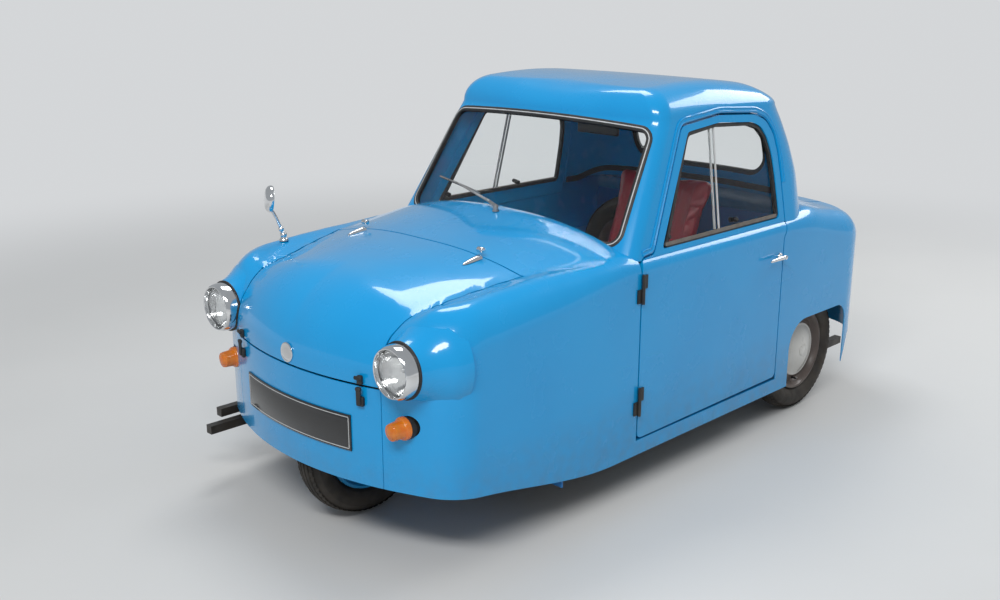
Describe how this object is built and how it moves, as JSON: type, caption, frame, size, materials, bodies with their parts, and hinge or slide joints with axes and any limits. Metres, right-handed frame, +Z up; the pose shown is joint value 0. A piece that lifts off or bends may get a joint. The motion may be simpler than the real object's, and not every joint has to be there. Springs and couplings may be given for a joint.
{
  "type": "three wheeled car",
  "caption": "Small single seat three wheeled car: closed cab, one steered front wheel, two rear wheels, opening doors, bonnet and engine lid.",
  "frame": {"origin": "on the floor, under the middle of the car's box", "axes": "+X to the car's left, +Y to the rear with the nose facing -Y, +Z up"},
  "size_m": [1.254, 2.646, 1.371],
  "materials": {
    "blue_paint": "gloss",
    "black_paint": "satin",
    "black_rubber": "matte",
    "clear_glass": "clear",
    "chrome_trim": "polished",
    "lamp_glass": "fluted",
    "amber_lens": "clear amber",
    "red_lens": "clear red",
    "plate_black": "gloss, blank",
    "wiper_steel": "satin",
    "burgundy_leather": "worn gloss",
    "dull_steel": "dull",
    "tyre_rubber": "matte",
    "grey_wheel_paint": "satin"
  },
  "bodies": {
    "root": {"chassis_frame": "black_paint", "carrier_irons": "black_paint", "floor_pan": "black_paint", "bulkheads": "blue_paint", "nose_panel": "blue_paint", "front_wing_left": "blue_paint", "front_wing_right": "blue_paint", "scuttle_panel": "blue_paint", "nose_latches": "black_rubber", "cab_shell": "blue_paint", "window_glass": "clear_glass", "window_seals": "black_rubber", "sills": "blue_paint", "rear_quarter_left": "blue_paint", "rear_quarter_right": "blue_paint", "tail_panel": "blue_paint", "door_hinges": "black_paint", "headlamp_rims": "chrome_trim", "headlamp_lenses": "lamp_glass", "indicator_lamps": "amber_lens", "tail_lamps": "red_lens", "number_plates": "plate_black", "wiper": "wiper_steel", "mirrors": "chrome_trim", "dashboard": "blue_paint", "tiller": "black_paint", "seat_frame": "black_paint", "seat_cushion": "burgundy_leather", "seat_back": "burgundy_leather", "spare_wheel": "tyre_rubber", "engine_block": "dull_steel", "exhaust": "dull_steel", "rear_axle": "dull_steel"},
    "bonnet": {"bonnet": "blue_paint", "bonnet_hinges": "chrome_trim", "bonnet_catches": "black_rubber"},
    "engine_lid": {"engine_lid": "blue_paint", "lid_hinges": "blue_paint"},
    "door_left": {"door_left": "blue_paint", "door_glass_left": "clear_glass", "door_handle_left": "chrome_trim", "hinge_leaves_left": "black_paint"},
    "door_right": {"door_right": "blue_paint", "door_glass_right": "clear_glass", "door_handle_right": "chrome_trim", "hinge_leaves_right": "black_paint"},
    "steering": {"front_fork": "black_paint"},
    "front_wheel": {"front_tyre": "tyre_rubber", "front_rim": "blue_paint"},
    "rear_wheel_left": {"rear_tyre_left": "tyre_rubber", "rear_rim_left": "grey_wheel_paint"},
    "rear_wheel_right": {"rear_tyre_right": "tyre_rubber", "rear_rim_right": "grey_wheel_paint"}
  },
  "joints": [
    {"name": "steering", "type": "hinge", "parent": "root", "child": "steering", "pos_m": [0, -1.035, 0.6], "axis": [0, 0, 1], "range_deg": [-35, 35]},
    {"name": "front_wheel_spin", "type": "hinge", "parent": "steering", "child": "front_wheel", "pos_m": [0, -1.035, 0.25], "axis": [1, 0, 0], "continuous": true},
    {"name": "rear_left_spin", "type": "hinge", "parent": "root", "child": "rear_wheel_left", "pos_m": [0.495, 0.805, 0.25], "axis": [1, 0, 0], "continuous": true},
    {"name": "rear_right_spin", "type": "hinge", "parent": "root", "child": "rear_wheel_right", "pos_m": [-0.495, 0.805, 0.25], "axis": [1, 0, 0], "continuous": true},
    {"name": "door_left_hinge", "type": "hinge", "parent": "root", "child": "door_left", "pos_m": [0.603, -0.336, 0.546], "axis": [0, 0, -1], "range_deg": [0, 70]},
    {"name": "door_right_hinge", "type": "hinge", "parent": "root", "child": "door_right", "pos_m": [-0.603, -0.336, 0.546], "axis": [0, 0, 1], "range_deg": [0, 70]},
    {"name": "bonnet_hinge", "type": "hinge", "parent": "root", "child": "bonnet", "pos_m": [0, -0.772, 0.897], "axis": [-1, 0, 0], "range_deg": [0, 55]},
    {"name": "engine_lid_hinge", "type": "hinge", "parent": "root", "child": "engine_lid", "pos_m": [0, 0.936, 0.853], "axis": [1, 0, 0], "range_deg": [0, 60]}
  ]
}
